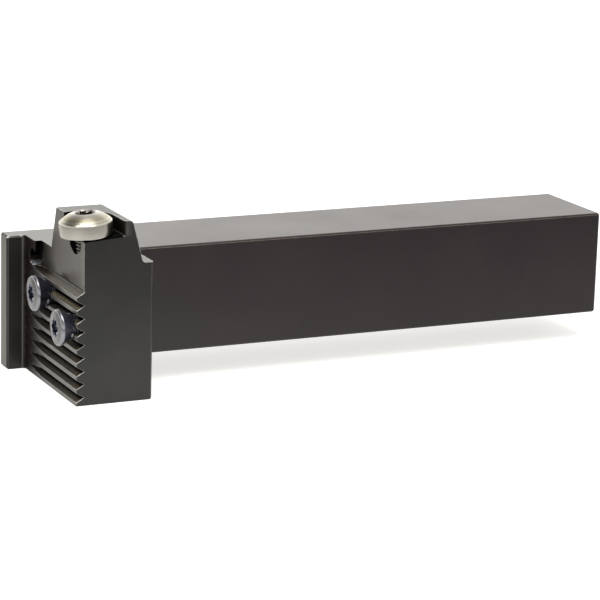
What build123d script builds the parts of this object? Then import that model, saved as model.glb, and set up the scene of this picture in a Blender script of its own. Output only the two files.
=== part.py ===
from build123d import *
import math
import os

# Grooving tool holder: a square shank with a head whose serrated seat takes a grooving blade.
# Frame: origin at the middle of the shank's rear end face, +X out of the rear end (the head lies
# towards -X), +Z up, and -Y the side on which the head stands proud of the shank. Millimetres.

# Shank
TOOL_LENGTH = 140.0  # rear end face to the plain front face
SHANK_WIDTH = 25.0
SHANK_HEIGHT = 25.0
SHANK_CHAMFER = 0.4

# Head
HEAD_THICKNESS = 16.4  # plain front face to the head's rear face
HEAD_OVERHANG = 13.7  # proud of the shank's near side
HEAD_DROP = 6.7  # below the shank
HEAD_CHAMFER = 0.4

# Flange that closes the seat at the far side
FLANGE_THICKNESS = 4.6
FLANGE_REACH = 6.14  # ahead of the plain front face
FLANGE_ROOT_RADIUS = 0.8
FLANGE_CHAMFER = 0.4

# Serrated seat
LAND_STEP = 1.65  # the lands stand this far ahead of the plain front face
GROOVE_COUNT = 9
GROOVE_PITCH = 3.0
GROOVE_DEPTH = 1.86
GROOVE_ANGLE = 60.0
TOP_GROOVE_DROP = 5.78  # root of the uppermost groove, below the shank's top
CUTTER_RADIUS = 25.0  # disk cutter that leaves the round run-outs
RUNOUT_TO_FLANGE = 3.4  # from the tips of the run-outs to the flange
STRIP_WIDTH = 6.3  # land left beside the flange, above the grooves
STEP_CORNER_RADIUS = 0.8  # between the plain front face and that land

# Coolant port beside the flange
PORT_DIAMETER = 4.0
PORT_DEPTH = 12.0
PORT_TO_FLANGE = 4.9
PORT_DROP = 4.0  # below the shank's top

# Clamping post on the head
POST_HEIGHT = 9.7
POST_DEPTH = 11.3  # at its top, front to rear
POST_WIDTH = 18.1  # at its top, from the head's near face
POST_REAR_ANGLE = 15.0
POST_FAR_ANGLE = 17.2
POST_FOOT_RADIUS = 1.0
POST_TOP_RADIUS = 0.9

# Clamp screw, tilted so that its head leans over the seat
CLAMP_TILT = 4.5
CLAMP_SETBACK = 2.6  # axis behind the plain front face, at the pocket floor
CLAMP_INSET = 5.7  # axis from the head's near face
CLAMP_FLOOR_HEIGHT = 5.85  # pocket floor above the shelf, at the axis
CLAMP_SEAT_GAP = 0.12  # the screw isn't drawn tight
CLAMP_POCKET_CLEARANCE = 1.0
CLAMP_POCKET_OVERRUN = 0.5  # the pocket's round end is centred this far beyond the axis
CLAMP_HEAD_DIAMETER = 12.0
CLAMP_HEAD_HEIGHT = 3.1  # up to the rim of the dome
CLAMP_DOME_HEIGHT = 2.4
CLAMP_HEAD_CHAMFER = 0.25
CLAMP_THREAD = 5.0
CLAMP_LENGTH = 11.5
CLAMP_SOCKET = 4.4
CLAMP_SOCKET_DEPTH = 2.8
CLAMP_SOCKET_MOUTH = 5.3
SOCKET_MOUTH_ANGLE = 120.0
RELIEF_DIAMETER = 8.8  # drilled out under the head
RELIEF_DEPTH = 2.5
RELIEF_CONE_ANGLE = 90.0
DRILL_POINT_ANGLE = 118.0

# Six-lobe sockets
SOCKET_LOBES = 6
SOCKET_WAIST = 0.722  # width between hollows, as a share of the width across the lobes
SOCKET_HOLLOW = 0.211  # radius of a hollow, as a share of the width across the lobes

# Blade screws
BLADE_THREAD = 6.0
BLADE_HEAD_DIAMETER = 8.4
BLADE_HEAD_RIM = 0.7
BLADE_HEAD_ROUND = 0.3
BLADE_HEAD_CROWN = 0.5
BLADE_HEAD_ANGLE = 60.0
BLADE_HEAD_STAND = 3.25  # front of the rim ahead of the lands
BLADE_SHANK_LENGTH = 15.5
BLADE_SOCKET = 4.1
BLADE_SOCKET_DEPTH = 2.4  # from the crown's top
BLADE_HOLE_RIM = 0.25  # radial width of the chamfer at the mouth
BLADE_HOLE_RIM_ANGLE = 90.0
UPPER_SCREW_TO_FLANGE = 13.9
UPPER_SCREW_DROP = 10.35  # below the shank's top
LOWER_SCREW_INSET = 4.4  # from the head's near face
LOWER_SCREW_DROP = 14.4

# Fits and small allowances
THREAD_CLEARANCE = 0.05
THREAD_END_CHAMFER = 0.6
HOLE_EXTRA_DEPTH = 2.0  # drilled deeper than the screw reaches
CUT_MARGIN = 1.0  # how far a cutting shape runs past the surface it opens
CUT_MARGIN_ANGLE = 2.0

# Places that follow from the sizes
seat_x = -TOOL_LENGTH
land_x = seat_x - LAND_STEP
root_x = land_x + GROOVE_DEPTH
flange_front_x = seat_x - FLANGE_REACH
head_rear_x = seat_x + HEAD_THICKNESS
near_y = -SHANK_WIDTH / 2
far_y = SHANK_WIDTH / 2
head_near_y = near_y - HEAD_OVERHANG
flange_y = far_y - FLANGE_THICKNESS
step_y = flange_y - STRIP_WIDTH
top_z = SHANK_HEIGHT / 2
bottom_z = -SHANK_HEIGHT / 2
head_bottom_z = bottom_z - HEAD_DROP
top_groove_z = top_z - TOP_GROOVE_DROP
tilt = math.radians(CLAMP_TILT)
clamp_axis = Vector(-math.sin(tilt), 0, math.cos(tilt))
clamp_across = Vector(math.cos(tilt), 0, math.sin(tilt))
clamp_seat = Vector(seat_x + CLAMP_SETBACK, head_near_y + CLAMP_INSET, top_z + CLAMP_FLOOR_HEIGHT)
clamp_underside = clamp_seat + clamp_axis * CLAMP_SEAT_GAP
clamp_floor = Plane(origin=clamp_seat, x_dir=clamp_across, z_dir=clamp_axis)
clamp_hole_section = Plane(origin=clamp_seat, x_dir=clamp_across, z_dir=(0, -1, 0))
clamp_screw_section = Plane(origin=clamp_underside, x_dir=clamp_across, z_dir=(0, -1, 0))
blade_screws = {
    "upper_blade_screw": Vector(land_x, flange_y - UPPER_SCREW_TO_FLANGE, top_z - UPPER_SCREW_DROP),
    "lower_blade_screw": Vector(land_x, head_near_y + LOWER_SCREW_INSET, top_z - LOWER_SCREW_DROP),
}
blade_hole_depths = {
    "upper_blade_screw": BLADE_SHANK_LENGTH + HOLE_EXTRA_DEPTH,
    "lower_blade_screw": LAND_STEP + HEAD_THICKNESS + CUT_MARGIN,
}


def cone_height(radius, angle):
    """Height of a cone with this base radius and this full angle at its tip."""
    return radius / math.tan(math.radians(angle / 2))


def six_lobe_socket(across):
    """Outline of a six-lobe drive, drawn into the sketch that is open."""
    waist = SOCKET_WAIST * across
    hollow = SOCKET_HOLLOW * across
    Circle(across / 2)
    with PolarLocations(waist / 2 + hollow, SOCKET_LOBES, start_angle=180 / SOCKET_LOBES):
        Circle(hollow, mode=Mode.SUBTRACT)


def rectangle_between(x_low, y_low, x_high, y_high):
    """Rectangle from its low corner to its high corner, drawn into the sketch that is open."""
    with Locations(((x_low + x_high) / 2, (y_low + y_high) / 2)):
        Rectangle(x_high - x_low, y_high - y_low)


with BuildPart() as holder_body:
    # Post: its side profile, crossed with its front profile
    foot_x = seat_x + POST_DEPTH + POST_HEIGHT * math.tan(math.radians(POST_REAR_ANGLE))
    with BuildSketch(Plane.XZ.offset(-head_near_y)) as post_side:
        with BuildLine():
            Polyline(
                (seat_x, bottom_z),
                (seat_x, top_z + POST_HEIGHT),
                (seat_x + POST_DEPTH, top_z + POST_HEIGHT),
                (foot_x, top_z),
                (head_rear_x, top_z),
                (head_rear_x, bottom_z),
                close=True,
            )
        make_face()
        fillet(post_side.vertices().sort_by_distance((foot_x, top_z))[0], POST_FOOT_RADIUS)
        top_rear = post_side.vertices().sort_by_distance((seat_x + POST_DEPTH, top_z + POST_HEIGHT))[0]
        fillet(top_rear, POST_TOP_RADIUS)
    extrude(amount=-(far_y - head_near_y))
    post_far_y = head_near_y + POST_WIDTH
    foot_far_y = post_far_y + POST_HEIGHT * math.tan(math.radians(POST_FAR_ANGLE))
    with BuildSketch(Plane.YZ.offset(seat_x)):
        with BuildLine():
            Polyline(
                (head_near_y, bottom_z),
                (head_near_y, top_z + POST_HEIGHT),
                (post_far_y, top_z + POST_HEIGHT),
                (foot_far_y, top_z),
                (far_y, top_z),
                (far_y, bottom_z),
                close=True,
            )
        make_face()
    extrude(amount=HEAD_THICKNESS, mode=Mode.INTERSECT)

    # Head block, out to the lands
    with BuildSketch(Plane.YZ.offset(land_x)):
        rectangle_between(head_near_y, head_bottom_z, far_y, top_z)
    extrude(amount=LAND_STEP + HEAD_THICKNESS)

    # Flange, with its root rounded and its front edges broken
    with BuildSketch(Plane.YZ.offset(flange_front_x)):
        rectangle_between(flange_y, head_bottom_z, far_y, top_z)
    extrude(amount=FLANGE_REACH - LAND_STEP)
    flange_root = holder_body.edges().filter_by(Axis.Z).sort_by_distance((land_x, flange_y, 0))[0]
    fillet(flange_root, FLANGE_ROOT_RADIUS)
    flange_front = holder_body.faces().filter_by(Axis.X).sort_by(Axis.X)[0]
    chamfer(flange_front.edges(), FLANGE_CHAMFER)

    # Broken edges of the head's rear and bottom
    head_rear = holder_body.faces().filter_by(Axis.X).sort_by(Axis.X)[-1]
    chamfer(head_rear.edges().filter_by(Axis.Z).sort_by(Axis.Y)[0], HEAD_CHAMFER)
    head_bottom = holder_body.faces().filter_by(Axis.Z).sort_by(Axis.Z)[0]
    chamfer(head_bottom.edges().filter_by(Axis.Y).sort_by(Axis.X)[-1], HEAD_CHAMFER)

    # Shank
    with BuildSketch(Plane.YZ.offset(head_rear_x)) as shank_section:
        Rectangle(SHANK_WIDTH, SHANK_HEIGHT)
        chamfer(shank_section.vertices(), SHANK_CHAMFER)
    extrude(amount=TOOL_LENGTH - HEAD_THICKNESS)
    rear_end = holder_body.faces().filter_by(Axis.X).sort_by(Axis.X)[-1]
    chamfer(rear_end.edges(), SHANK_CHAMFER)

    # Plain front face, cut back from the lands above the grooves
    with BuildSketch(Plane.XY.offset(top_groove_z)) as seat_recess:
        rectangle_between(land_x - CUT_MARGIN, head_near_y - CUT_MARGIN, seat_x, step_y)
        fillet(seat_recess.vertices().sort_by_distance((seat_x, step_y))[0], STEP_CORNER_RADIUS)
    extrude(amount=TOP_GROOVE_DROP + POST_HEIGHT, mode=Mode.SUBTRACT)

    # V grooves, and the round run-outs that the disk cutter leaves at their far ends
    runout_reach = math.sqrt(CUTTER_RADIUS**2 - (CUTTER_RADIUS - GROOVE_DEPTH) ** 2)
    runout_y = flange_y - RUNOUT_TO_FLANGE - runout_reach
    runout_arc = math.degrees(math.asin(runout_reach / CUTTER_RADIUS)) + CUT_MARGIN_ANGLE
    half_mouth = GROOVE_DEPTH * math.tan(math.radians(GROOVE_ANGLE / 2))
    groove_outline = [
        (0, 0),
        (-GROOVE_DEPTH, half_mouth),
        (-GROOVE_DEPTH - CUT_MARGIN, half_mouth),
        (-GROOVE_DEPTH - CUT_MARGIN, -half_mouth),
        (-GROOVE_DEPTH, -half_mouth),
    ]
    with BuildSketch(Plane.XZ.offset(-runout_y)) as grooves:
        with Locations((root_x, top_groove_z - (GROOVE_COUNT - 1) * GROOVE_PITCH / 2)):
            with GridLocations(GROOVE_PITCH, GROOVE_PITCH, 1, GROOVE_COUNT):
                Polygon(*groove_outline, align=None)
    extrude(grooves.sketch, amount=runout_y - head_near_y + CUT_MARGIN, mode=Mode.SUBTRACT)
    cutter_axis = Axis((root_x - CUTTER_RADIUS, runout_y, 0), (0, 0, 1))
    revolve(grooves.sketch, axis=cutter_axis, revolution_arc=runout_arc, mode=Mode.SUBTRACT)

    # Coolant port
    with BuildSketch(Plane.YZ.offset(land_x)):
        with Locations((flange_y - PORT_TO_FLANGE, top_z - PORT_DROP)):
            Circle(PORT_DIAMETER / 2)
    extrude(amount=LAND_STEP + PORT_DEPTH, mode=Mode.SUBTRACT)

    # Pocket in the post for the clamp screw's head, open to the front and the near side
    pocket_radius = CLAMP_HEAD_DIAMETER / 2 + CLAMP_POCKET_CLEARANCE
    with BuildSketch(clamp_floor):
        with Locations((0, CLAMP_POCKET_OVERRUN)):
            Circle(pocket_radius)
        rectangle_between(-pocket_radius, -CLAMP_INSET - CUT_MARGIN, pocket_radius, CLAMP_POCKET_OVERRUN)
    extrude(amount=POST_HEIGHT, mode=Mode.SUBTRACT)

    # Clamp screw's hole: a drilled relief under the head, then the thread
    clamp_hole_radius = CLAMP_THREAD / 2 + THREAD_CLEARANCE
    relief_radius = RELIEF_DIAMETER / 2
    relief_floor = -RELIEF_DEPTH - cone_height(relief_radius - clamp_hole_radius, RELIEF_CONE_ANGLE)
    clamp_hole_end = -CLAMP_LENGTH - HOLE_EXTRA_DEPTH
    with BuildSketch(clamp_hole_section):
        with BuildLine():
            Polyline(
                (0, CUT_MARGIN),
                (relief_radius, CUT_MARGIN),
                (relief_radius, -RELIEF_DEPTH),
                (clamp_hole_radius, relief_floor),
                (clamp_hole_radius, clamp_hole_end),
                (0, clamp_hole_end - cone_height(clamp_hole_radius, DRILL_POINT_ANGLE)),
                close=True,
            )
        make_face()
    revolve(axis=Axis(clamp_seat, clamp_axis), mode=Mode.SUBTRACT)

    # Blade screws' holes, in the lands: the upper one blind, the lower one through the head
    blade_hole_radius = BLADE_THREAD / 2 + THREAD_CLEARANCE
    rim_radius = blade_hole_radius + BLADE_HOLE_RIM
    for name, mouth in blade_screws.items():
        with Locations(Plane(origin=mouth, z_dir=(-1, 0, 0))):
            CounterSinkHole(blade_hole_radius, rim_radius, blade_hole_depths[name], BLADE_HOLE_RIM_ANGLE)

holder_body.part.label = "holder_body"


with BuildPart() as top_clamp_screw:
    head_radius = CLAMP_HEAD_DIAMETER / 2
    thread_radius = CLAMP_THREAD / 2
    mouth_radius = CLAMP_SOCKET_MOUTH / 2
    dome_top = CLAMP_HEAD_HEIGHT + CLAMP_DOME_HEIGHT
    dome_radius = (head_radius**2 + CLAMP_DOME_HEIGHT**2) / (2 * CLAMP_DOME_HEIGHT)
    mouth_height = dome_top - dome_radius + math.sqrt(dome_radius**2 - mouth_radius**2)
    dish_floor = mouth_height - cone_height(mouth_radius - CLAMP_SOCKET / 2, SOCKET_MOUTH_ANGLE)
    with BuildSketch(clamp_screw_section):
        with BuildLine():
            Polyline(
                (mouth_radius, mouth_height),
                (CLAMP_SOCKET / 2, dish_floor),
                (0, dish_floor),
                (0, -CLAMP_LENGTH),
                (thread_radius - THREAD_END_CHAMFER, -CLAMP_LENGTH),
                (thread_radius, -CLAMP_LENGTH + THREAD_END_CHAMFER),
                (thread_radius, 0),
                (head_radius - CLAMP_HEAD_CHAMFER, 0),
                (head_radius, CLAMP_HEAD_CHAMFER),
                (head_radius, CLAMP_HEAD_HEIGHT),
            )
            RadiusArc((head_radius, CLAMP_HEAD_HEIGHT), (mouth_radius, mouth_height), -dome_radius)
        make_face()
    revolve(axis=Axis(clamp_underside, clamp_axis))
    with BuildSketch(clamp_floor.offset(CLAMP_SEAT_GAP + dome_top - CLAMP_SOCKET_DEPTH)):
        six_lobe_socket(CLAMP_SOCKET)
    extrude(amount=CLAMP_SOCKET_DEPTH, mode=Mode.SUBTRACT)

top_clamp_screw.part.label = "top_clamp_screw"

os.makedirs("parts", exist_ok=True)
export_step(holder_body.part, "parts/holder_body.step")
export_step(top_clamp_screw.part, "parts/top_clamp_screw.step")

# The two blade screws are alike: crown, rim, cone and thread, and a six-lobe socket
for name, mouth in blade_screws.items():
    with BuildPart() as blade_screw:
        screw_section = Plane(origin=mouth, x_dir=(0, 0, 1), z_dir=(0, -1, 0))
        head_radius = BLADE_HEAD_DIAMETER / 2
        thread_radius = BLADE_THREAD / 2
        crown_top = BLADE_HEAD_STAND + BLADE_HEAD_CROWN
        crown_radius = (head_radius**2 + BLADE_HEAD_CROWN**2) / (2 * BLADE_HEAD_CROWN)
        rim_back = BLADE_HEAD_STAND - BLADE_HEAD_RIM
        neck = rim_back - cone_height(head_radius - thread_radius, BLADE_HEAD_ANGLE)
        with BuildSketch(screw_section) as screw_profile:
            with BuildLine():
                Polyline(
                    (head_radius, BLADE_HEAD_STAND),
                    (head_radius, rim_back),
                    (thread_radius, neck),
                    (thread_radius, -BLADE_SHANK_LENGTH + THREAD_END_CHAMFER),
                    (thread_radius - THREAD_END_CHAMFER, -BLADE_SHANK_LENGTH),
                    (0, -BLADE_SHANK_LENGTH),
                    (0, crown_top),
                )
                RadiusArc((head_radius, BLADE_HEAD_STAND), (0, crown_top), -crown_radius)
            make_face()
            rim_corner = screw_profile.vertices().sort_by_distance((head_radius, BLADE_HEAD_STAND))[0]
            fillet(rim_corner, BLADE_HEAD_ROUND)
        revolve(axis=Axis(mouth, (1, 0, 0)))
        with BuildSketch(Plane(origin=mouth, z_dir=(-1, 0, 0)).offset(crown_top - BLADE_SOCKET_DEPTH)):
            six_lobe_socket(BLADE_SOCKET)
        extrude(amount=BLADE_SOCKET_DEPTH, mode=Mode.SUBTRACT)
    blade_screw.part.label = name
    export_step(blade_screw.part, f"parts/{name}.step")
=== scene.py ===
import math

import bpy
from mathutils import Matrix, Vector


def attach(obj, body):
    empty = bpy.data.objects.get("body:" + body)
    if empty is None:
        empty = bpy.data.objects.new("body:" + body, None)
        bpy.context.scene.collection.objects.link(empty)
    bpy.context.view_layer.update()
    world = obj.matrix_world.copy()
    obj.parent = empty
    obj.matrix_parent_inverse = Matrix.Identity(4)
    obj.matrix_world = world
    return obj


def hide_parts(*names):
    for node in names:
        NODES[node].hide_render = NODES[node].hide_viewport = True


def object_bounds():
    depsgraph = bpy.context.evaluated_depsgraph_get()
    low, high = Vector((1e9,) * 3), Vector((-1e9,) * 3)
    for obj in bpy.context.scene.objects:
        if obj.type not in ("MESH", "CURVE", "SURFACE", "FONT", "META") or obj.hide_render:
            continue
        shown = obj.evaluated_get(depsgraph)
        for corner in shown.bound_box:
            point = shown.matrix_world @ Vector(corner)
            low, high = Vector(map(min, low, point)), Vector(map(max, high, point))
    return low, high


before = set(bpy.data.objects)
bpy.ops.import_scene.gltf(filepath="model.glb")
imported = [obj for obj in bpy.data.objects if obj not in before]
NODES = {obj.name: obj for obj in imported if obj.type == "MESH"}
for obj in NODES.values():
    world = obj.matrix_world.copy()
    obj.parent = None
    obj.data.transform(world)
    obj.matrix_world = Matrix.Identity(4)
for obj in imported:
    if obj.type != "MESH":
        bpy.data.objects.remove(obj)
CAD_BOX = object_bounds()

MM = 0.001
bpy.context.scene.view_settings.view_transform = "Standard"

# Places on the holder, in millimetres. Its seat looks towards -X and its near face towards -Y.
LAND_X = -141.65  # the lands between the grooves, and the feet of the blade screws' cones
SEAT_X = -139.0  # the seat and the flange lie ahead of it
HEAD_END_X = (-124.0, -123.2)  # the step from the head to the shank lies between them
NEAR_Y = -25.5  # only the head's near face lies beyond it
FLANGE_Y = 7.8  # just short of the flange's inner face
SEAT_TOP_Z = 6.7  # the root of the top groove, where the plain front face begins
SHELF_Z = 12.5  # the top of the head and of the shank
PORT_Y, PORT_Z, PORT_RADIUS = 3.0, 8.5, 2.0
POCKET_X = -137.6  # the middle of the post's pocket

CLAMP_TILT = math.radians(4.5)
CLAMP_LIFT = 0.12  # from the pocket's floor to the clamp screw's head

AROUND = 120  # points round a screw's head
THREAD_STEPS = 40  # points in a turn of a thread


def make_camera():
    """The photograph's viewpoint: the image centre on aim, seen along -back."""
    aim = Vector((-78.5, -7.3, -4.4)) * MM
    distance = 625.1 * MM
    back = Vector((-0.41676, -0.87625, 0.24191)).normalized()
    up = Vector((0.07825, 0.23055, 0.96992))
    right = up.cross(back).normalized()
    up = back.cross(right).normalized()
    data = bpy.data.cameras.new("camera")
    data.lens = 158.58
    data.sensor_width = 36.0
    data.clip_start, data.clip_end = 0.01, 20.0
    cam = bpy.data.objects.new("camera", data)
    turn = Matrix((right, up, back)).transposed()
    cam.matrix_world = Matrix.Translation(aim + back * distance) @ turn.to_4x4()
    bpy.context.scene.collection.objects.link(cam)
    bpy.context.scene.camera = cam


class Nodes:
    """Short calls that build a node tree. Their values are numbers, colours or outputs of other nodes."""

    def __init__(self, tree):
        self.tree = tree

    def put(self, socket, value):
        if isinstance(value, bpy.types.NodeSocket):
            self.tree.links.new(value, socket)
        else:
            socket.default_value = value

    def add(self, kind, ins=None, **props):
        """Adds a node, with its inputs in ins and its settings in props."""
        n = self.tree.nodes.new(kind)
        for key, value in props.items():
            setattr(n, key, value)
        for key, value in (ins or {}).items():
            self.put(n.inputs[key], value)
        return n

    def math(self, operation, a, b=0.5):
        return self.add("ShaderNodeMath", {0: a, 1: b}, operation=operation).outputs[0]

    def fold(self, operation, values):
        total = values[0]
        for value in values[1:]:
            total = self.math(operation, total, value)
        return total

    def plus(self, *values):
        return self.fold("ADD", values)

    def minus(self, a, b):
        return self.math("SUBTRACT", a, b)

    def times(self, *values):
        return self.fold("MULTIPLY", values)

    def most(self, *values):
        return self.fold("MAXIMUM", values)

    def size(self, value):
        return self.math("ABSOLUTE", value)

    def apart_from(self, value, middle):
        return self.size(self.minus(value, middle))

    def less(self, a, b):
        """1 where a is less than b, and 0 elsewhere."""
        return self.math("LESS_THAN", a, b)

    def more(self, a, b):
        """1 where a is more than b, and 0 elsewhere."""
        return self.math("GREATER_THAN", a, b)

    def outside(self, mask):
        return self.minus(1.0, mask)

    def within(self, radius, a, b):
        """1 where the point (a, b) is nearer to 0 than radius, and 0 elsewhere."""
        return self.less(self.plus(self.times(a, a), self.times(b, b)), radius**2)

    def remap(self, value, a, b, c=0.0, d=1.0):
        """c where the value is a, d where it is b, in proportion between them and level beyond them."""
        ins = {"Value": value, "From Min": a, "From Max": b, "To Min": c, "To Max": d}
        return self.add("ShaderNodeMapRange", ins).outputs[0]

    def blend(self, fac, a, b):
        """The number a where fac is 0, b where it is 1."""
        return self.add("ShaderNodeMix", {0: fac, 2: a, 3: b}).outputs[0]

    def mix(self, fac, a, b):
        """The colour a where fac is 0, b where it is 1."""
        n = self.add("ShaderNodeMix", data_type="RGBA")
        for index, value in ((0, fac), (6, a), (7, b)):
            if isinstance(value, tuple):
                value = (*value, 1.0)
            self.put(n.inputs[index], value)
        return n.outputs[2]

    def split(self, vector):
        return self.add("ShaderNodeSeparateXYZ", {0: vector}).outputs


class Material(Nodes):
    """A Principled material. Its x, y and z are the object's own coordinates in millimetres."""

    def __init__(self, name):
        self.material = bpy.data.materials.new(name)
        self.material.use_nodes = True
        super().__init__(self.material.node_tree)
        self.shader = self.tree.nodes["Principled BSDF"]
        self.object_place = self.add("ShaderNodeTexCoord").outputs["Object"]
        scaled = self.add("ShaderNodeVectorMath", {0: self.object_place, "Scale": 1 / MM}, operation="SCALE")
        place = self.split(scaled.outputs[0])
        self.x, self.y, self.z = (place[axis] for axis in "XYZ")

    def shade(self, **values):
        """Sets the shader's inputs; an underscore stands for a space."""
        for key, value in values.items():
            self.put(self.shader.inputs[key.replace("_", " ")], value)

    def noise(self, scale, detail=3.0, rough=0.5, stretch=None):
        place = self.object_place
        if stretch is not None:
            place = self.add("ShaderNodeMapping", {"Vector": place, "Scale": stretch}).outputs[0]
        ins = {"Vector": place, "Scale": scale, "Detail": detail, "Roughness": rough}
        return self.add("ShaderNodeTexNoise", ins).outputs["Fac"]

    def rounded(self, radius):
        """(normal with the sharp edges rounded, 1 along those edges and 0 on open faces)."""
        soft = self.add("ShaderNodeBevel", {"Radius": radius}, samples=8).outputs[0]
        flat = self.add("ShaderNodeNewGeometry").outputs["Normal"]
        dot = self.add("ShaderNodeVectorMath", {0: soft, 1: flat}, operation="DOT_PRODUCT").outputs["Value"]
        return soft, self.remap(dot, 0.99, 0.88)

    def bump(self, height, strength, distance, normal):
        ins = {"Strength": strength, "Distance": distance, "Height": height, "Normal": normal}
        return self.add("ShaderNodeBump", ins).outputs[0]

    def from_axis(self):
        """The distance from the object's own Z axis, in millimetres."""
        return self.math("SQRT", self.plus(self.times(self.x, self.x), self.times(self.y, self.y)))


class BlackSteel(Material):
    """The holder: blackened, with bare lands and edges, oily grooves, the flange's foot dirty and in painted
    shade, painted shade in the roots, pocket and above the port, and painted light on the upper flanks and a
    few faces and edges.
    """

    # Colours; in a pair, a mask goes from the first to the second.
    HEAD = (0.0125, 0.0125, 0.0105), (0.0230, 0.0215, 0.0205)
    SHANK = (0.0110, 0.0050, 0.0070), (0.0180, 0.0100, 0.0115)
    OIL = (0.105, 0.078, 0.038), (0.045, 0.033, 0.019)
    # Oil on the upper flanks with painted light on it: gold, and grey higher up.
    LIT_GOLDEN_OIL = (0.090, 0.074, 0.048), (0.26, 0.215, 0.130)
    LIT_GREY_OIL = (0.105, 0.100, 0.085)
    PLAIN_FRONT = (0.063, 0.053, 0.039), (0.083, 0.072, 0.054)
    # The painted sheen on the plain front face.
    PLAIN_FRONT_SHEEN = (0.105, 0.092, 0.074)
    # The painted light on the flange's inner face.
    LIT_FLANGE_STRIP = (0.125, 0.116, 0.110)
    # The painted sheen beside the pocket.
    SHEEN_BESIDE_POCKET = (0.070, 0.068, 0.062)
    # A dark colour for dirty places and painted shade, and black for the deepest painted shade.
    DIRT, DEEP_BLACK = (0.016, 0.0105, 0.008), (0.0, 0.0, 0.0)
    GROUND_METAL, WORN_METAL = (0.50, 0.485, 0.445), (0.90, 0.89, 0.86)
    SHANK_METAL = (0.46, 0.40, 0.30)
    # The colour of the painted glint in the port.
    PORT_GLINT = (0.80, 0.83, 0.90)

    def __init__(self):
        super().__init__("blackened_steel")
        self.soft, self.edge = self.rounded(0.28 * MM)
        self.facing = self.split(self.add("ShaderNodeNewGeometry").outputs["Normal"])
        self.cloud = self.noise(55.0, 4.0, 0.55)
        self.fine = self.noise(900.0, 3.0, 0.6)
        self.on_shank = self.remap(self.x, *HEAD_END_X)
        self.find_seat()
        self.find_grooves()
        self.find_port()
        self.find_pocket()
        self.finish()

    def find_seat(self):
        """The lands, the plain front face, the groove flanks, and the dirt beside the flange."""
        seat = self.less(self.x, SEAT_X)
        ahead = self.times(self.facing["X"], -1.0)
        front = self.more(ahead, 0.9)
        self.slope = self.times(self.more(ahead, 0.3), seat)
        self.flank = self.times(self.slope, self.more(self.size(self.facing["Z"]), 0.5))
        self.inward = self.times(self.less(self.y, FLANGE_Y + 0.05), self.less(self.facing["Z"], 0.9), seat)
        self.ragged_y = self.plus(self.y, self.times(self.fine, 4.0))
        foot = self.remap(self.ragged_y, -1.8, 6.2)
        aside = self.minus(self.apart_from(self.y, 2.5), self.remap(self.z, 7.8, 10.0, 3.5, 0.8))
        step = self.times(self.remap(aside, 2.2, 7.8, 1.0, 0.0), self.more(self.z, SEAT_TOP_Z))
        # Grime and painted shade in the corner by the flange's foot and beside the step over the port.
        self.flange_foot_grime_and_shade = self.times(self.most(foot, step), self.inward)
        off_lands = self.most(self.more(self.x, LAND_X + 0.15), self.more(self.y, FLANGE_Y))
        self.plain_front = self.times(front, self.outside(self.flange_foot_grime_and_shade), off_lands)
        first_land = self.times(self.more(self.z, 4.0), self.remap(self.y, -18.5, -10.5))
        self.land = self.times(
            front,
            self.remap(self.x, LAND_X + 0.15, LAND_X + 0.05),
            self.remap(self.y, -9.0, 3.5, 1.0, 0.05),
            self.outside(self.times(first_land, 0.85)),
            self.outside(self.flange_foot_grime_and_shade),
        )

    def find_grooves(self):
        """Painted shade, black in the roots, and painted light, gold on the oil of the upper flanks."""
        ragged_x = self.plus(self.x, self.times(self.minus(self.fine, 0.5), 0.6))
        # Painted shade: black in the roots of the grooves.
        self.root = self.times(
            self.flank,
            self.remap(ragged_x, LAND_X + 0.85, LAND_X + 1.25),
            self.remap(self.z, 5.0, 5.6, 1.0, 0.25),
        )
        # Painted light: the flanks of the upper grooves lit gold over their oil.
        self.lit_golden_oil = self.times(
            self.remap(self.z, 2.2, 2.8),
            self.remap(self.z, 3.6, 5.0, 1.0, 0.85),
            self.flank,
            self.remap(ragged_x, LAND_X + 0.05, LAND_X + 0.55, 0.1, 1.0),
            self.remap(self.ragged_y, -2.0, -8.0),
        )

    def find_port(self):
        """The port's lower wall, which takes a painted glint, and the painted black shade, as of a recess,
        that runs from it up to the shelf.
        """
        # A painted glint: the port's lower wall made pale and less metallic.
        self.port_glint = self.times(
            self.within(PORT_RADIUS + 0.04, self.minus(self.y, PORT_Y), self.minus(self.z, PORT_Z)),
            self.remap(self.plus(self.z, self.times(self.fine, 0.8)), 8.0, 7.0),
            self.less(self.size(self.facing["X"]), 0.3),
        )
        # Painted shade: black on the flat strip that runs from the port up to the shelf.
        self.slot = self.times(
            self.more(self.x, LAND_X + 0.35),
            self.less(self.apart_from(self.y, PORT_Y), 2.3),
            self.inward,
            self.more(self.z, 8.4),
        )

    def find_pocket(self):
        """The post's pocket and the gap under the clamp screw, which take painted shade, the relief, and the
        near face beside them, which takes a painted sheen.
        """
        off_x = self.minus(self.x, POCKET_X)
        off_y = self.most(self.plus(self.y, 20.0), 0.0)
        above_floor = self.minus(self.minus(self.z, 18.34), self.times(off_x, 0.0787))
        under_rim = self.times(self.within(7.35, off_x, off_y), self.less(self.z, 22.15))
        # Painted shade in the pocket under the clamp screw's head.
        self.pocket = self.times(under_rim, self.more(above_floor, -0.04))
        # Painted shadow in the gap under the clamp screw's head.
        self.gap = self.times(under_rim, self.more(above_floor, -0.30), self.less(self.size(off_x), 6.6))
        self.relief = self.times(
            self.within(4.6, off_x, self.plus(self.y, 20.5)), self.more(self.z, SHELF_Z)
        )
        # A painted sheen: a lighter strip on the near face beside the pocket.
        self.sheen_beside_pocket = self.times(
            self.less(self.y, NEAR_Y),
            self.remap(self.z, 18.4, 19.2),
            self.remap(self.x, -130.0, -128.6, 1.0, 0.0),
            self.more(self.x, -131.2),
        )

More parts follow.
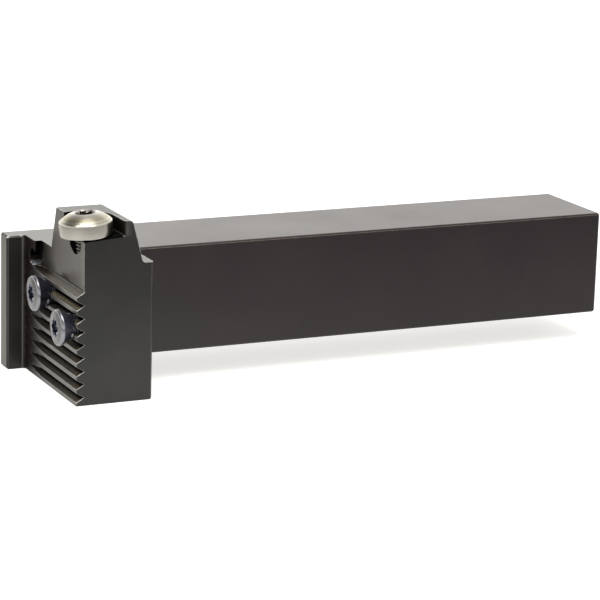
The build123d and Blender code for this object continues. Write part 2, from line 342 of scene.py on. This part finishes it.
    def dark_line(self):
        """The shadow under the plain front face, broader towards the flange."""
        line = self.remap(self.apart_from(self.z, 6.95), 0.18, 0.32, 0.9, 0.0)
        broad = self.remap(self.apart_from(self.z, 6.9), 0.6, 1.1, 0.8, 0.0)
        return self.times(
            self.most(line, self.times(broad, self.remap(self.y, -8.0, -3.0))),
            self.slope,
            self.more(self.x, LAND_X + 0.35),
            self.less(self.y, FLANGE_Y),
            self.more(self.y, -25.8),
        )

    def blackened(self):
        """All that is darkened, dirty places and painted shade among it, from 0 to 1."""
        # Grime and painted shade by the flange's foot, mottled.
        dirt_and_shade = self.times(self.flange_foot_grime_and_shade, self.remap(self.fine, 0.3, 0.7, 0.55, 1.0))
        # Painted shade in the pocket, less on its floor.
        pocket = self.times(self.pocket, self.remap(self.facing["Z"], 0.8, 0.9, 0.85, 0.55))
        # A darker patch on the plain front face just above the top groove.
        dark_patch = self.times(
            self.remap(self.z, 8.6, 7.3, 0.0, 0.75),
            self.remap(self.apart_from(self.y, -14.3), 0.8, 3.2, 1.0, 0.0),
            self.plain_front,
            self.more(self.z, SEAT_TOP_Z + 0.1),
        )
        return self.most(self.root, dirt_and_shade, pocket, self.gap, dark_patch, self.slot, self.dark_line())

    def coloured(self, black):
        """The colour of all that isn't bare metal."""
        mottle = self.remap(self.cloud, 0.35, 0.65)
        tone = self.mix(self.on_shank, self.mix(mottle, *self.HEAD), self.mix(mottle, *self.SHANK))
        oil = self.mix(self.remap(self.y, -26.0, -8.0), *self.OIL)
        tone = self.mix(self.times(self.flank, self.remap(self.fine, 0.35, 0.65, 0.1, 1.0)), tone, oil)
        # Painted light on the oil of the upper flanks, gold and then grey higher up.
        lit_golden_oil = self.mix(self.remap(self.fine, 0.38, 0.62), *self.LIT_GOLDEN_OIL)
        tone = self.mix(self.lit_golden_oil, tone, lit_golden_oil)
        tone = self.mix(self.times(self.lit_golden_oil, self.remap(self.z, 4.5, 5.2)), tone, self.LIT_GREY_OIL)
        patchy = self.mix(self.remap(self.noise(260.0, 3.0, 0.6), 0.35, 0.65), *self.PLAIN_FRONT)
        # A painted sheen: the plain front face lighter towards the near face.
        patchy = self.mix(self.remap(self.y, -23.6, -25.0), patchy, self.PLAIN_FRONT_SHEEN)
        tone = self.mix(self.plain_front, tone, patchy)
        # Painted light: a lighter strip along the flange's inner face by its root.
        lit_flange_strip = self.times(
            self.remap(self.x, -142.65, -142.45),
            self.less(self.facing["Y"], -0.9),
            self.more(self.y, FLANGE_Y - 0.2),
            self.less(self.x, LAND_X + 0.45),
        )
        tone = self.mix(lit_flange_strip, tone, self.LIT_FLANGE_STRIP)
        # The painted sheen beside the pocket.
        tone = self.mix(self.sheen_beside_pocket, tone, self.SHEEN_BESIDE_POCKET)
        # The deepest painted shade: in the roots, under the clamp screw's head and above the port.
        deep = self.most(self.root, self.gap, self.slot)
        return self.mix(black, tone, self.mix(deep, self.DIRT, self.DEEP_BLACK))

    def bare_edges_and_highlights(self, black):
        """Edges that wear bare, barest where they look up as a painted highlight, and a painted glint on the
        flange's top.
        """
        near_edges = self.times(self.less(self.y, NEAR_Y), self.remap(self.z, 6.0, 7.5, 0.40, 0.60))
        # Painted highlight: edges that look up wear the most bare.
        up = self.most(self.remap(self.split(self.soft)["Z"], -0.05, 0.25, 0.10, 1.0), near_edges)
        uneven = self.remap(self.noise(700.0, 3.0), 0.30, 0.55, 0.5, 1.0)
        on_lands = self.less(self.x, LAND_X + 0.45)
        # Less wear, and less painted highlight, on the lands' near ends.
        spared = self.times(on_lands, self.remap(self.y, NEAR_Y, NEAR_Y + 1.0, 0.0, 0.30))
        wear_and_highlight = self.times(
            self.edge,
            uneven,
            up,
            self.outside(black),
            self.outside(self.times(self.relief, 0.75)),
            self.outside(spared),
        )
        # A painted glint along the flange's top edge.
        flange_top = self.times(self.less(self.x, -142.4), self.less(self.y, 8.4), self.more(self.z, 12.05))
        glint = self.remap(self.apart_from(self.x, -144.2), 1.0, 1.6, 0.30, 0.95)
        return self.most(wear_and_highlight, self.times(flange_top, glint))

    def finish(self):
        black = self.blackened()
        wear_and_highlight = self.bare_edges_and_highlights(black)
        grind = self.noise(1.0, 3.0, 0.6, (90.0, 2200.0, 2200.0))
        milled = self.noise(1.0, 2.0, 0.6, (2500.0, 120.0, 2500.0))
        ground = self.times(self.land, self.remap(milled, 0.3, 0.7, 0.22, 0.40))
        # The painted glint in the port, broken into ragged streaks.
        port_glint_streak = self.times(self.port_glint, self.remap(self.fine, 0.42, 0.52, 0.35, 0.95))
        shelf = self.times(
            self.more(self.facing["Z"], 0.9),
            self.remap(self.x, -131.0, -119.0, 1.0, 0.0),
            self.remap(self.apart_from(self.z, SHELF_Z), 0.1, 0.2, 1.0, 0.0),
        )
        bare = self.most(wear_and_highlight, ground, port_glint_streak, self.times(shelf, 0.20))
        metal = self.mix(wear_and_highlight, self.GROUND_METAL, self.WORN_METAL)
        metal = self.mix(self.on_shank, metal, self.SHANK_METAL)
        metal = self.mix(self.port_glint, metal, self.PORT_GLINT)
        bare_metallic = self.times(bare, self.remap(self.port_glint, 0.0, 1.0, 0.9, 0.25))
        dirt_and_shade = self.most(black, self.times(self.flank, 0.45))
        height = self.plus(self.times(grind, 0.6), self.times(self.fine, 0.25))
        self.shade(
            Base_Color=self.mix(bare, self.coloured(black), metal),
            Metallic=self.most(bare_metallic, self.times(black, 0.95)),
            Roughness=self.plus(self.remap(self.cloud, 0.3, 0.7, 0.29, 0.34), self.times(dirt_and_shade, 0.25)),
            IOR=1.5,
            Normal=self.bump(height, 0.06, 0.02 * MM, self.soft),
        )


def bright_steel():
    """Turned bright steel, with lathe marks and a straw tint round the dome; painted highlight near the
    dish, on the dome's outer ring and along sharp edges; painted shade in the socket and on the thread.
    """
    n = Material("bright_turned_steel")
    soft, edge = n.rounded(0.10 * MM)
    radius, height = n.from_axis(), n.z
    cloud = n.noise(350.0, 3.0)
    ring = n.plus(radius, n.times(height, 0.8))
    ins = {"W": ring, "Scale": 5.0, "Detail": 2.0}
    marks = n.add("ShaderNodeTexNoise", ins, noise_dimensions="1D").outputs[0]

    dome_side = n.remap(height, 3.0, 3.1)
    # Painted highlight: the dome lighter near its dish.
    crown = n.times(n.remap(radius, 3.5, 2.9), dome_side)
    # Painted highlight: the dome's outer ring lighter, streaked by the lathe marks.
    outer = n.times(n.remap(radius, 4.75, 5.15), dome_side)
    band = n.times(n.remap(radius, 3.2, 4.8), n.remap(height, 3.0, 3.3))
    straw = n.times(band, n.remap(cloud, 0.35, 0.65, 0.5, 1.0))
    socket = n.times(n.less(radius, 2.19), n.more(height, 1.0))

    body = n.mix(n.remap(marks, 0.3, 0.7, 0.3, 0.7), (0.43, 0.41, 0.365), (0.52, 0.50, 0.45))
    body = n.mix(crown, body, (0.60, 0.585, 0.54))
    body = n.mix(straw, body, (0.42, 0.375, 0.245))
    body = n.mix(outer, body, n.mix(n.remap(marks, 0.3, 0.7), (0.45, 0.42, 0.33), (0.66, 0.645, 0.575)))
    speckle = n.remap(n.noise(1200.0, 2.0), 0.42, 0.60)
    # Painted shade in the socket, with lighter speckles.
    body = n.mix(socket, body, n.mix(speckle, (0.055, 0.048, 0.040), (0.34, 0.32, 0.28)))
    # Painted highlight: sharp edges lighter.
    metal = n.mix(n.times(edge, 0.8), body, (0.84, 0.83, 0.80))
    in_shade = n.remap(height, -0.15, -0.05, 1.0, 0.0)
    # Painted shade: below the head the thread is dark, darkest in its roots and lighter on its crests.
    thread = n.mix(n.remap(radius, 2.30, 2.48), (0.035, 0.032, 0.028), (0.26, 0.25, 0.23))

    dome = n.remap(height, 3.02, 3.15)
    n.shade(
        Base_Color=n.mix(in_shade, metal, thread),
        Metallic=1.0,
        Roughness=n.minus(n.remap(cloud, 0.3, 0.7, 0.30, 0.36), n.times(dome, 0.12)),
        Anisotropic=0.45,
        Anisotropic_Rotation=0.25,
        Tangent=n.add("ShaderNodeTangent", direction_type="RADIAL", axis="Z").outputs[0],
        Normal=n.bump(n.times(marks, n.remap(dome, 0.0, 1.0, 0.2, 1.0)), 0.12, 0.02 * MM, soft),
    )
    return n.material


def blued_steel():
    """Blued screws: polished grey faces with rims painted lighter as a painted highlight, and blue-grey
    cones, sockets and threads; painted glints in the sockets and round the neck, and a painted highlight
    along sharp edges.
    """
    n = Material("blued_steel")
    soft, edge = n.rounded(0.12 * MM)
    radius, height = n.from_axis(), n.z
    cloud = n.noise(500.0, 3.0)
    mottle = n.remap(cloud, 0.3, 0.7)

    polished = n.times(n.remap(height, 2.50, 2.75), n.remap(radius, 2.05, 2.25))
    # Painted highlight: the rounded rim of the face lighter.
    rim = n.times(n.remap(radius, 3.50, 3.80), n.remap(height, 2.45, 2.70))
    socket = n.times(n.less(radius, 2.12), n.more(height, 0.5))
    # Painted glints: pale specks in a band round the neck.
    collar = n.times(
        n.remap(height, 0.66, 0.58), n.remap(height, 0.10, 0.20), n.remap(n.noise(1100.0, 2.0), 0.52, 0.58)
    )

    grey = n.mix(mottle, (0.142, 0.139, 0.143), (0.193, 0.187, 0.184))
    grey = n.mix(rim, grey, (0.27, 0.27, 0.292))
    blue = n.mix(mottle, (0.026, 0.027, 0.043), (0.050, 0.051, 0.074))
    speckle = n.remap(n.noise(1400.0, 2.0), 0.42, 0.58)
    # Painted glints: the sockets lighter, with pale speckles.
    blue = n.mix(socket, blue, n.mix(speckle, (0.05, 0.055, 0.085), (0.42, 0.44, 0.54)))
    metal = n.mix(collar, n.mix(polished, blue, grey), (0.80, 0.81, 0.86))
    # Painted highlight: sharp edges lighter.
    n.shade(
        Base_Color=n.mix(n.times(edge, 0.8), metal, (0.70, 0.70, 0.71)),
        Metallic=n.remap(n.most(polished, n.times(socket, 0.8)), 0.0, 1.0, 0.40, 1.0),
        Roughness=n.remap(n.most(polished, collar), 0.0, 1.0, 0.30, 0.22),
        Normal=n.bump(cloud, 0.10, 0.03 * MM, soft),
    )
    return n.material


def lobe_radius(angle, across):
    """Outline of a six-lobe drive."""
    waist = 0.722 * across
    return (waist + (across - waist) * (0.5 + 0.5 * math.cos(6 * angle)) ** 0.8) / 2


class Screw:
    """A screw's mesh, along local Z with its head up, in millimetres until it is placed."""

    def __init__(self):
        self.points = []
        self.faces = []

    def ring(self, radius, height):
        """Adds one ring; radius is a number or takes the angle, height is a number or takes the radius."""
        first = len(self.points)
        for k in range(AROUND):
            a = 2 * math.pi * k / AROUND
            r = radius(a) if callable(radius) else radius
            self.points.append((r * math.cos(a), r * math.sin(a), height(r) if callable(height) else height))
        return first

    def skin(self, rings, cap_first, cap_last):
        """Joins rings into a closed surface; a cap is the height of the point that closes an end."""
        firsts = [self.ring(*r) for r in rings]
        for a, b in zip(firsts, firsts[1:]):
            for k in range(AROUND):
                m = (k + 1) % AROUND
                self.faces.append((a + k, a + m, b + m, b + k))
        for first, cap, turn in ((firsts[0], cap_first, -1), (firsts[-1], cap_last, 1)):
            tip = len(self.points)
            self.points.append((0, 0, cap))
            for k in range(AROUND):
                self.faces.append((first + k, first + (k + 1) % AROUND, tip)[::turn])

    def thread(self, root, crest, top, bottom, pitch):
        """Adds a closed right-handed ridge whose ends run out into the core."""
        steps = round((top - bottom) / pitch * THREAD_STEPS)
        foot, tip = 0.43 * pitch, 0.0625 * pitch  # half the ridge's width
        sunk, proud = root - 0.04, root + 0.01
        first = len(self.points)
        for k in range(steps + 1):
            a = -2 * math.pi * k / THREAD_STEPS
            z = top - pitch * k / THREAD_STEPS
            grown = min(1, 2 * k / THREAD_STEPS, 2 * (steps - k) / THREAD_STEPS)
            outer = proud + (crest - proud) * grown
            for r, dz in ((sunk, foot), (outer, tip), (outer, -tip), (sunk, -foot)):
                self.points.append((r * math.cos(a), r * math.sin(a), z + dz))
        for k in range(steps):
            a, b = first + 4 * k, first + 4 * k + 4
            for m in range(4):
                j = (m + 1) % 4
                self.faces.append((a + m, a + j, b + j, b + m))
        last = first + 4 * steps
        self.faces.append((first, first + 3, first + 2, first + 1))
        self.faces.append((last, last + 1, last + 2, last + 3))

    def place(self, name, origin, outward, material, node, slot):
        """Makes the object, stands it in for its node and lets it ride on that node's body."""
        mesh = bpy.data.meshes.new(name)
        mesh.from_pydata([Vector(p) * MM for p in self.points], [], self.faces)
        mesh.shade_smooth()
        mesh.set_sharp_from_angle(angle=math.radians(32))
        mesh.materials.append(material)
        w = Vector(outward).normalized()
        v = w.cross(Vector((0, 1, 0))).normalized()
        u = v.cross(w)
        turn = Matrix((u, v, w)).transposed().to_4x4()
        made = bpy.data.objects.new(name, mesh)
        made.matrix_world = Matrix.Translation(Vector(origin) * MM) @ turn
        bpy.context.scene.collection.objects.link(made)
        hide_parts(node)
        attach(made, node)
        return made


def arc(radius, top, x):
    """Height at x of a dome of this radius."""
    return top - radius + math.sqrt(radius * radius - x * x)


def arc_radius(half, rise):
    """Radius of the arc that rises this much over its half width."""
    return (half**2 + rise**2) / (2 * rise)


def blade_screw(name, origin, material):
    """An 8.4 mm crowned head with a rounded rim over a long cone, and an M6 thread."""
    head, rim = 4.2, 0.70
    rim_start, crown_end = head - rim, 3.57
    crown_radius, crown_top = arc_radius(head, 0.5), 3.75
    across, floor, socket_edge = 4.1, 1.35, 0.10
    core, collar, crest, end = 2.40, 3.0, 3.0, -15.5

    def lobes(share=1.0, more=0.0):
        return lambda a: share * lobe_radius(a, across) + more

    def crown(r):
        return arc(crown_radius, crown_top, r)

    rings = [
        (lobes(0.35), floor - 0.35),
        (lobes(0.93), floor),
        (lobes(), floor + 0.25),
        (lobes(), lambda r: crown(r) - 0.12),
        (lobes(1.0, socket_edge), crown),
    ]
    for t in (0.25, 0.5, 0.75, 1.0):
        rings.append((lobes(1 - t, socket_edge * (1 - t) + crown_end * t), crown))
    for degrees in (20, 35, 50, 65, 80, 90):
        t = math.radians(degrees)
        rings.append((rim_start + rim * math.sin(t), crown(rim_start) - rim + rim * math.cos(t)))
    rings += [(head, 2.55), (head - 0.08, 2.42), (collar, 0.50), (collar, -0.30)]
    rings += [(core, -0.70), (core, end + 0.4), (core - 0.3, end)]
    s = Screw()
    s.skin(rings, floor - 0.45, end)
    s.thread(core, crest, top=-0.90, bottom=end + 0.5, pitch=1.0)
    return s.place(name + "_threaded", origin, (-1, 0, 0), material, name, "blade_screws")


def clamp_screw(name, origin, material):
    """A 12 mm domed head with its socket in a dish, and an M5 thread."""
    head, dome_end = 6.0, 5.86
    dome_radius, dome_top = arc_radius(head, 2.4), 5.5
    across, mouth, mouth_edge = 4.4, 2.65, 0.03
    core, crest, end = 2.1, 2.5, -11.5

    def lobes(share=1.0, more=0.0):
        return lambda a: share * lobe_radius(a, across) + more

    def dome(r):
        return arc(dome_radius, dome_top, r)

    def dish(r):
        return dish_top - (across / 2 - r) * 0.55

    dish_top = dome(mouth) - (mouth - across / 2) / math.tan(math.radians(60))
    rings = [
        (lobes(0.35), 2.3),
        (lobes(0.95), 2.7),
        (lobes(), 2.9),
        (lobes(), lambda r: dish(r) - 0.04),
        (lobes(1.0, 0.05), dish),
        (mouth - 0.04, dome(mouth) - 0.03),
    ]
    dome_start = mouth + mouth_edge
    for share in (0.0, 0.12, 0.25, 0.38, 0.5, 0.62, 0.75, 0.88, 1.0):
        rings.append((dome_start + (dome_end - dome_start) * share, dome))
    slope = math.asin(dome_end / dome_radius)
    rim = (head - dome_end) / (1 - math.sin(slope))
    for share in (0.25, 0.5, 0.75, 1.0):
        t = slope + (math.pi / 2 - slope) * share
        drop = rim * (math.cos(slope) - math.cos(t))
        rings.append((head - rim + rim * math.sin(t), dome(dome_end) - drop))
    rings += [(head, 0.25), (head - 0.07, 0.07), (head - 0.25, 0.0), (2.7, 0.0)]
    rings += [(core, -0.25), (core, end + 0.4), (core - 0.3, end)]
    s = Screw()
    s.skin(rings, 2.2, end)
    s.thread(core - 0.07, crest, top=-0.75, bottom=end + 0.4, pitch=0.8)
    outward = (-math.sin(CLAMP_TILT), 0, math.cos(CLAMP_TILT))
    return s.place(name + "_threaded", origin, outward, material, name, name)


def make_stage():
    """A pale floor that shows white round the object, keeps its shadow and darkens in its reflections."""
    z = CAD_BOX[0].z
    mesh = bpy.data.meshes.new("floor")
    mesh.from_pydata([(-3, -3, z), (3, -3, z), (3, 3, z), (-3, 3, z)], [], [(0, 1, 2, 3)])
    floor = bpy.data.objects.new("floor", mesh)
    bpy.context.scene.collection.objects.link(floor)
    n = Material("pale_floor")
    path = n.add("ShaderNodeLightPath").outputs
    mirrored = path["Is Glossy Ray"]
    far = n.most(n.remap(n.y, -160.0, -50.0, 0.70, 0.0), n.remap(n.x, -300.0, -200.0, 0.60, 0.0))
    n.shade(
        Base_Color=n.mix(n.times(mirrored, far), (0.80, 0.80, 0.79), (0.0, 0.0, 0.0)),
        Roughness=0.9,
        Specular_IOR_Level=0.0,
    )
    near = n.times(
        n.remap(n.y, -150.0, -80.0, 0.0, 0.48),
        n.remap(n.x, -110.0, -30.0, 1.0, 0.30),
        n.remap(n.y, -30.0, 20.0, 1.0, 0.65),
        n.remap(n.x, -260.0, -180.0, 0.2, 1.0),
    )
    glow = n.plus(n.times(mirrored, near), n.times(path["Is Camera Ray"], 0.70))
    lift = n.add("ShaderNodeEmission", {"Color": (1, 0.985, 0.96, 1), "Strength": glow}).outputs[0]
    both = n.add("ShaderNodeAddShader", {0: n.shader.outputs[0], 1: lift}).outputs[0]
    n.put(n.tree.nodes["Material Output"].inputs["Surface"], both)
    mesh.materials.append(n.material)


def make_light():
    """A surround that is white to the camera and shaded in reflections, and three soft lights."""
    world = bpy.data.worlds.new("world")
    world.use_nodes = True
    bpy.context.scene.world = world
    n = Nodes(world.node_tree)
    path = n.add("ShaderNodeLightPath").outputs
    around = n.split(n.add("ShaderNodeTexCoord").outputs["Generated"])
    east, up = around["X"], around["Z"]

    low = n.remap(east, 0.34, 0.50, 1.38, 1.15)
    high = n.remap(east, -0.35, 0.12, 0.22, 0.85)
    mirrored = n.blend(n.remap(up, 0.28, 0.65), low, high)
    mirrored = n.blend(n.remap(up, 0.93, 0.98), mirrored, 2.0)
    strength = n.blend(path["Is Glossy Ray"], 0.5, mirrored)
    seen = n.most(path["Is Camera Ray"], path["Is Transmission Ray"])
    background = n.tree.nodes["Background"].inputs
    n.put(background["Strength"], n.blend(seen, strength, 1.0))
    n.put(background["Color"], n.mix(path["Is Glossy Ray"], (1.0, 1.0, 1.0), (1.0, 0.975, 0.94)))

    for name, place, size, power, in_reflections in (
        ("softbox_top", (-0.05, -0.02, 0.75), (0.55, 0.55), 1.4, False),
        ("softbox_back", (0.45, 0.95, 0.42), (1.0, 1.0), 1.2, True),
        ("softbox_front", (-0.25, -0.29, 0.72), (0.90, 0.38), 3.1, True),
    ):
        data = bpy.data.lights.new(name, "AREA")
        data.shape = "RECTANGLE"
        data.size, data.size_y = size
        data.energy = power
        data.color = (1.0, 0.98, 0.95)
        lamp = bpy.data.objects.new(name, data)
        lamp.location = place
        lamp.rotation_mode = "QUATERNION"
        lamp.rotation_quaternion = (Vector((-0.07, 0, 0)) - Vector(place)).to_track_quat("-Z", "Y")
        lamp.visible_camera = False
        lamp.visible_glossy = in_reflections
        bpy.context.scene.collection.objects.link(lamp)


make_camera()
make_stage()
make_light()

blued = blued_steel()
bright = bright_steel()
lifted = (
    -137.4 - CLAMP_LIFT * math.sin(CLAMP_TILT),
    -20.5,
    18.35 + CLAMP_LIFT * math.cos(CLAMP_TILT),
)
clamp_screw("top_clamp_screw", lifted, bright)
blade_screw("upper_blade_screw", (LAND_X, -6.0, 2.15), blued)
blade_screw("lower_blade_screw", (LAND_X, -21.8, -1.9), blued)

for name, material in (
    ("holder_body", BlackSteel().material),
    ("top_clamp_screw", bright),
    ("upper_blade_screw", blued),
    ("lower_blade_screw", blued),
):
    mesh = NODES[name].data
    mesh.materials.clear()
    mesh.materials.append(material)
